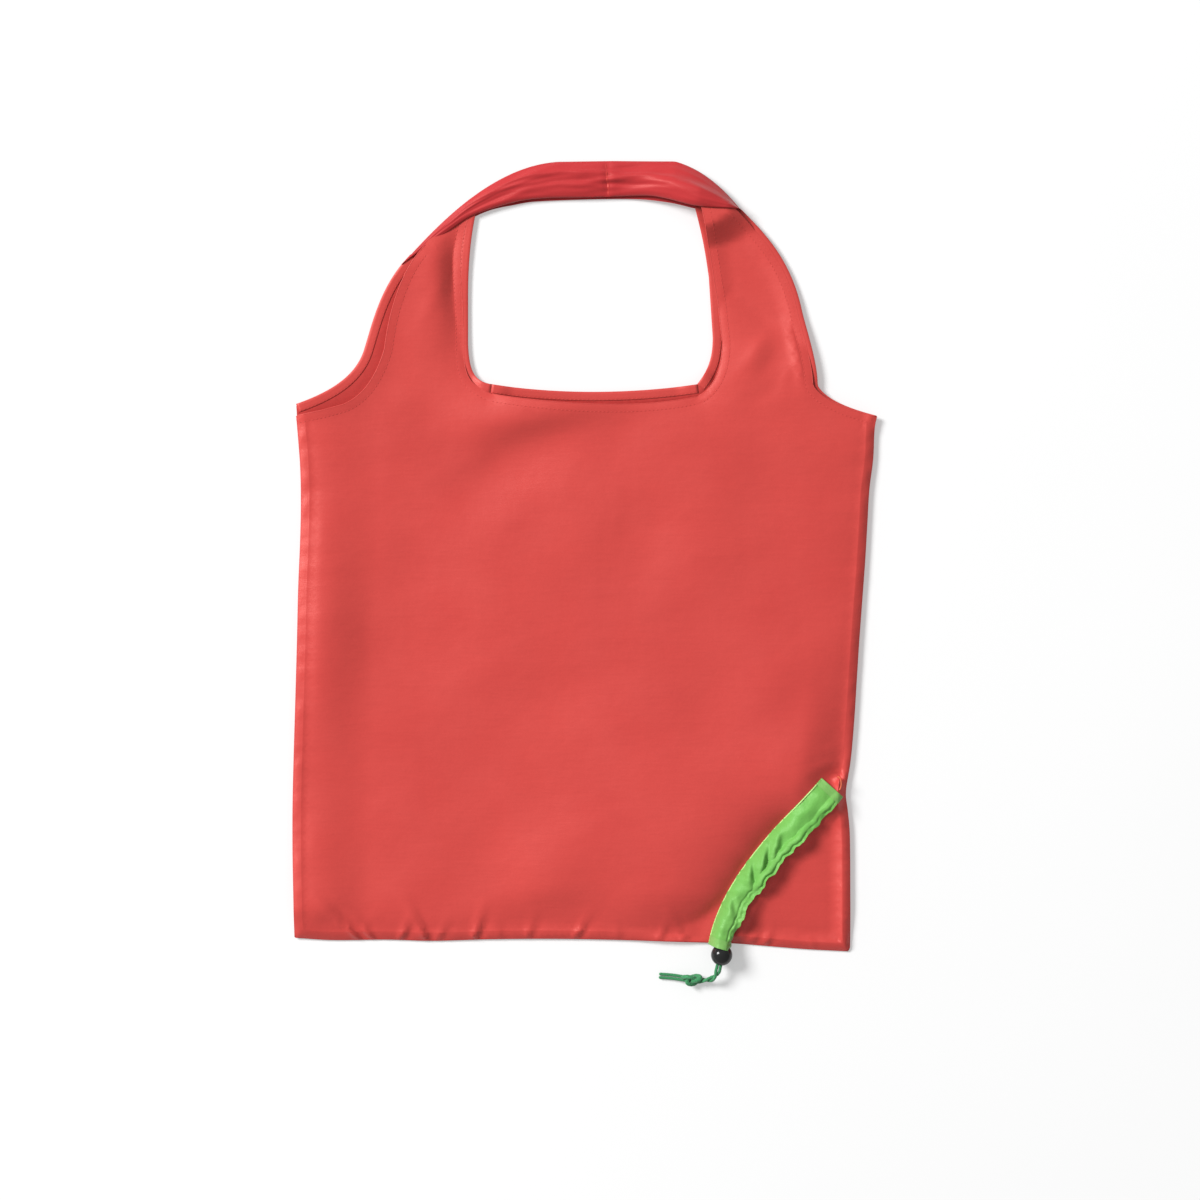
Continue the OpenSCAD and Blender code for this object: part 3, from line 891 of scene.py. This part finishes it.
# ---------------- the bag's cloth
front_rows = (0.7, 2.4, 4.3, 4.9, 5.5, 7.4)
front_low, front_high = cloth("front_sheet", front_rim, front_rows, 3.2, front_height, CLOTH, CUT)
back_low, back_high = cloth("back_sheet", back_rim, (0.8, 3.0, 6.0), 4.6, back_height, CLOTH, CUT)
for side, paint, low, high in (("front", red, front_low, front_high),
                               ("back", red_inside_painted_shade, back_low, back_high)):
    panels = (f"{side}_panel_lower", f"{side}_panel_upper")
    straps = (f"{side}_strap_left", f"{side}_strap_right")
    dress(low, paint, across="fold", stands_for=panels)
    dress(high, paint, across=f"{side}_handle", stands_for=straps)

for side, line in (("left", left_side), ("right", right_side[::-1])):
    o = seam(f"{side}_seam", even(line, 2))
    dress(o, red_hem, across="fold", stands_for=(f"{side}_seam_lower", f"{side}_seam_upper"))
o = seam("bottom_seam", even(bottom_side, 2))
dress(o, red_hem, "lower_body", stands_for=("bottom_seam",))


def bind_edges(side, lines, height, rise):
    """The hem and the stitches of each open edge; the back's stitches show on its outside too."""
    for line, what in zip(lines, ("mouth", "hand_left", "hand_right", "arm_left", "arm_right")):
        # the CAD's hand_hem_left is this script's hand_left_hem
        node = "_hem_".join(what.split("_")) if "_" in what else "mouth_hem"
        across = None if what == "mouth" else f"{side}_handle"
        carried = under_grip(line) if side == "front" and across else line
        o = hem(f"{side}_{what}_hem", carried, height, side == "back")
        dress(o, red, "upper_body", across, (f"{side}_{node}",))
        row = beside(line, -HEM_STITCHES)
        o = stitches(f"{side}_{what}_stitches", row, height, rise=rise)
        dress(o, red_thread, "upper_body", across)
        if side == "back":
            o = stitches(f"back_{what}_stitches_outside", row, lambda q: height(q) + 0.16,
                         thick=0.16, under=True)
            dress(o, red_thread, "upper_body", across)


bind_edges("front", front_open, front_height, 0.05)
bind_edges("back", back_open, back_height, 0.36)


# ---------------- the grips
def grip_top(base, crown, seed):
    """The height over a gathered tube of cloth, with folds along it."""
    def top(u, v, xy, full=None):
        if full is None:
            full = np.clip(np.linalg.norm(xy[:, -1] - xy[:, 0], axis=1)[:, None] / 22, 0, 1)
        x = xy[..., 0]
        raised = 11.0 * grip_rise(x) * (0.55 if base < 3 else 1) * (1 - 0.8 * step_up(v, 0.25, 1.0))
        z = base + raised + crown * full * (1 - np.abs(2 * v - 1) ** 3.0)
        z += full * 0.7 * np.sin(v * 9.5 + 0.9 * np.sin(x / 31.0) + seed) * bell(v - 0.55, 0.42)
        folds = noise_at(x / 30.0, v * 4.2, seed) + 0.5 * noise_at(x / 17.0, v * 9, seed)
        z += full * 1.9 * folds * np.sin(math.pi * np.clip(v, 0, 1)) ** 0.6
        # drawn in at the seam, with short puckers beside it
        d = np.abs(x - GRIP_SEAM)
        z -= 0.7 * bell(d, 2.2) * np.sin(math.pi * v) ** 0.4
        z += 0.45 * np.exp(-d / 9) * np.sin(v * 26 + seed) * np.sin(math.pi * v)
        return np.maximum(z, base + raised - 0.25)
    return top


def cut_at(line, x):
    """A line cut in two where it first passes that x."""
    i = int(np.argmax(line[:, 0] > x))
    a, b = line[i - 1], line[i]
    m = a + (b - a) * (x - a[0]) / (b[0] - a[0])
    return np.vstack([line[:i], m]), np.vstack([m, line[i:]])


def grip(side, low, high, base, crown, seed):
    """One grip: its left and right halves of gathered cloth, and the seam that joins them."""
    low_l, low_r = cut_at(even(low, 1.5), SEAM_FOOT)
    high_l, high_r = cut_at(even(high, 1.5), SEAM_HEAD)
    top = grip_top(base, crown, seed)
    for key, a, b in (("left", low_l, high_l), ("right", low_r, high_r)):
        o = shell(f"{side}_grip_{key}", a, b, 26, top, GRIP_CLOTH)
        dress(o, red_grip_painted_shade, f"{side}_handle", stands_for=(f"{side}_grip_{key}",))
    line = even([(SEAM_HEAD, high_r[0][1] - 0.4), (14.2, 250), (15.6, 243),
                 (SEAM_FOOT, low_r[0][1] + 0.3)], 0.8)
    v = np.linspace(1, 0, len(line))[:, None]
    z = top(v, v, line[:, None, :], 1.0)[:, 0]

    def loop(q):
        shape = [(-1.5, -0.6), (-0.9, 0.06), (0, 0.14), (0.7, 0.04), (1.2, -0.6), (0, -1.3)]
        return [np.column_stack([beside(q, w), np.maximum(z + h, SHEET_CLEAR)]) for w, h in shape]
    o = sweep(f"{side}_grip_seam", line, loop)
    dress(o, red_hem, f"{side}_handle", stands_for=(f"{side}_grip_seam",))


grip("front", front_grip_low, grip_high, 3.9, 3.4, 2.3)
grip("back", back_grip_low, grip_high * (0.995, 0.996) + (0, 0.2), 1.3, 1.1, 5.1)


# ---------------- the drawcord channel
# Folds of the strip: where along it, lean, width, height, and from its left edge 0 to its right 1
FOLDS = [
    (10, 3, 3.4, 0.7, 0.7), (22, -5, 6.0, 0.9, 0.35), (38, 9, 5.0, 0.9, 0.7), (48, 12, 3.6, -1.0, 0.55),
    (55, 14, 3.6, 1.4, 0.5), (63, 15, 2.6, -2.0, 0.6), (69, 14, 3.2, 1.7, 0.5), (77, 11, 2.4, -2.0, 0.35),
    (83, 10, 3.4, 1.2, 0.35), (92, -9, 4.0, 0.9, 0.3), (101, 10, 3.0, -1.3, 0.35), (108, 8, 4.0, 0.8, 0.5),
    (117, -4, 4.0, 0.5, 0.6),
]


def channel_top(u, v, xy):
    """The strip's height: a soft tunnel, low at the side seam, lifted over the cord and over the bead."""
    flat = xy.reshape(-1, 2)
    under = front_height(flat).reshape(u.shape)
    last = len(channel_line) - 1
    at = channel_line[np.clip((u * last).round().astype(int), 0, last)]
    middle = front_height(at.reshape(-1, 2)).reshape(u.shape)
    w = 2 * v - 1
    s = u * STRIP_LONG
    ridge = np.maximum(middle + 2.6 + 0.8 * step_up(u, 0.1, 0.5), 11.5 * step_up(u, 0.55, 0.77))
    ridge = ridge + 3.9 * step_up(u, 0.925, 1.0)
    left, right = under + 0.42, under + 1.2 + 1.3 * step_up(u, 0.1, 0.3)
    side = np.where(w < 0, 1 - np.abs(w) ** 2.4, 1 - np.abs(w) ** (2.6 + 2.6 * step_up(u, 0.45, 0.8)))
    z = np.where(w < 0, left, right) * (1 - side) + ridge * side
    soft = np.sin(math.pi * np.clip(v, 0, 1)) ** 0.8
    for place, lean, wide, h, where in FOLDS:
        z += h * bell(s - place - lean * w, wide) * bell(v - where, 0.34) * soft
    # the seam that gathers its right side, with small lumps beside it
    line = 0.74 + 0.03 * np.sin(s / 9.0)
    z -= 0.7 * bell(v - line, 0.045) * step_up(u, 0.03, 0.08) * (1 - step_up(u, 0.93, 0.97))
    lumps = noise_at(s / 2.6, v * 5, 7.1)
    z += lumps * bell(v - 0.86, 0.10) + 0.5 * lumps * bell(v - 0.04, 0.06)
    broad = noise_at(s / 13.0, v * 1.6, 2.2)
    gathered = 2.0 * np.exp(-(((v - 0.77) / 0.13) ** 4)) * step_up(u, 0.02, 0.08)
    clear = 0.5 + gathered * (1 - step_up(u, 0.6, 0.7))
    return np.maximum(z + 0.9 * broad * soft, under + clear)


strip = even(channel_line, 0.8)
steps = np.arange(len(strip))
frayed_left = 0.8 * noise_at(steps * 0.30, 3.3, 0.5)
frayed_right = 1.7 * noise_at(steps * 0.17, 9.3, 0.5) + 0.5 * noise_at(steps * 0.55, 1.3, 0.5)
narrow = STRIP_HALF - 2.4 * np.linspace(0, 1, len(strip)) ** 3


def strip_side(w):
    """A line along the strip: w is -1 at its upper left edge and 1 at its lower right one."""
    return strip + (w * narrow)[:, None] * left_of(strip)


left_edge = strip_side(-1) + np.outer(frayed_left, (0.75, -0.66))
right_edge = strip_side(1) + np.outer(frayed_right, (0.75, -0.66))
channel = shell("drawcord_channel", left_edge, right_edge, 40, channel_top, 0.35)
dress(channel, green, "lower_body", stands_for=("front_channel",))


def band(name, u0, u1, rise, thick):
    """Part of the strip once more, a little higher: the hem turned over at its end."""
    n = len(strip)
    a, b = int(u0 * (n - 1)), int(math.ceil(u1 * (n - 1)))

    def top(u, v, xy):
        return channel_top(u0 + (u1 - u0) * u, v, xy) + rise
    return shell(name, strip_side(-1.02)[a:b + 1], strip_side(1.02)[a:b + 1], 30, top, thick)


hem_share = STRIP_HEM / STRIP_LONG
for key, u0, u1, node in (("top", 0.0, hem_share, "channel_hem_top"),
                          ("end", 1 - hem_share, 1.0, "channel_hem_end")):
    o = band(f"channel_hem_{key}", u0, u1, 0.34, 0.4)
    dress(o, green_hem, "lower_body", stands_for=(node,))

back_strip = shell("back_channel_sleeve", strip_side(-1.02), strip_side(1.02), 14,
                   lambda u, v, xy: np.full(u.shape, 0.30) + 0.12 * (1 - np.abs(2 * v - 1) ** 2), 0.24)
dress(back_strip, green, "lower_body", stands_for=("back_channel",))
run = even(channel_line, 0.5)
back_path = np.column_stack([run[12:-16], np.full(len(run) - 28, 2.2)])
back_run = tube("drawcord_back_run", back_path, 1.0, 8, twist=strand)
dress(back_run, braid, "lower_body", stands_for=("cord_run_back",))
top_run = beside(run, 5)[26:int(len(run) * 0.62)]
front_path = np.column_stack([top_run, front_height(top_run) + 0.9])
front_run = tube("drawcord_front_run", front_path, 0.95, 8, twist=strand)
dress(front_run, braid, "lower_body", stands_for=("cord_run_front",))

# piped left edge of the strip, whose pale thread also paints the highlight along this lit edge, and the
# stitches that hold it down
pipe = strip_side(-0.96)
pipe_path = np.column_stack([pipe, front_height(pipe) + 0.55])
piping = tube("channel_piping", pipe_path, 0.55, 8, twist=lambda s, a: 1 + 0.16 * math.sin(s * 3.1))
dress(piping, green_thread_and_edge_highlight, "lower_body")
for key, w in (("left", -0.86), ("right", 0.86)):
    o = stitches(f"channel_stitches_{key}", strip_side(w), lambda q: front_height(q) + 0.62,
                 rise=0.25, thick=0.17)
    dress(o, green_thread_and_edge_highlight, "lower_body")

# a loop of thread at the strip's top corner
turn = np.linspace(-1.25, 1.9, 22)
loop_at = np.array([165.4, -148.4])
loop_z = float(front_height(loop_at[None, :])[0])
thread = np.column_stack([loop_at[0] + 2.0 * np.cos(turn), loop_at[1] + 4.4 * np.sin(turn),
                          loop_z + 1.0 + 0.35 * np.sin(turn * 2)])
o = tube("side_thread_loop", smooth(thread, 0.3), 0.38, 8)
dress(o, orange_thread, "lower_body", stands_for=("side_loop",))

# ---------------- floor and light
floor_mesh = bpy.data.meshes.new("floor")
floor_mesh.from_pydata([(-3, -3, 0), (3, -3, 0), (3, 3, 0), (-3, 3, 0)], [], [(0, 1, 2, 3)])
floor = bpy.data.objects.new("floor", floor_mesh)
scene.collection.objects.link(floor)
white = Paint("white_light_table", Roughness=0.9, Specular_IOR_Level=0.05,
              Emission_Color=(1, 1, 1, 1), Emission_Strength=0.34)
shade = white.ramp(white.noise(4, 2), 0.2, 0.8)
floor_mesh.materials.append(white.finish(white.mix(shade, (0.49, 0.49, 0.49), (0.50, 0.50, 0.50))))

scene.view_settings.view_transform = "Standard"
scene.view_settings.look = "None"
world = bpy.data.worlds.new("studio")
scene.world = world
world.use_nodes = True
background = world.node_tree.nodes["Background"].inputs
background["Color"].default_value = (1.0, 1.0, 1.0, 1)
background["Strength"].default_value = 0.42


def lamp(name, azimuth, elevation, far, size, power):
    """A round soft light that shines on the middle of the table, from that many metres away."""
    light = bpy.data.lights.new(name, "AREA")
    light.shape, light.size, light.energy = "DISK", size, power
    o = bpy.data.objects.new(name, light)
    scene.collection.objects.link(o)
    a, e = math.radians(azimuth), math.radians(elevation)
    way = Vector((math.cos(a) * math.cos(e), math.sin(a) * math.cos(e), math.sin(e)))
    o.location = way * far
    o.rotation_euler = way.to_track_quat("Z", "Y").to_euler()


lamp("key", 150, 40, 8.0, 3.0, 985)
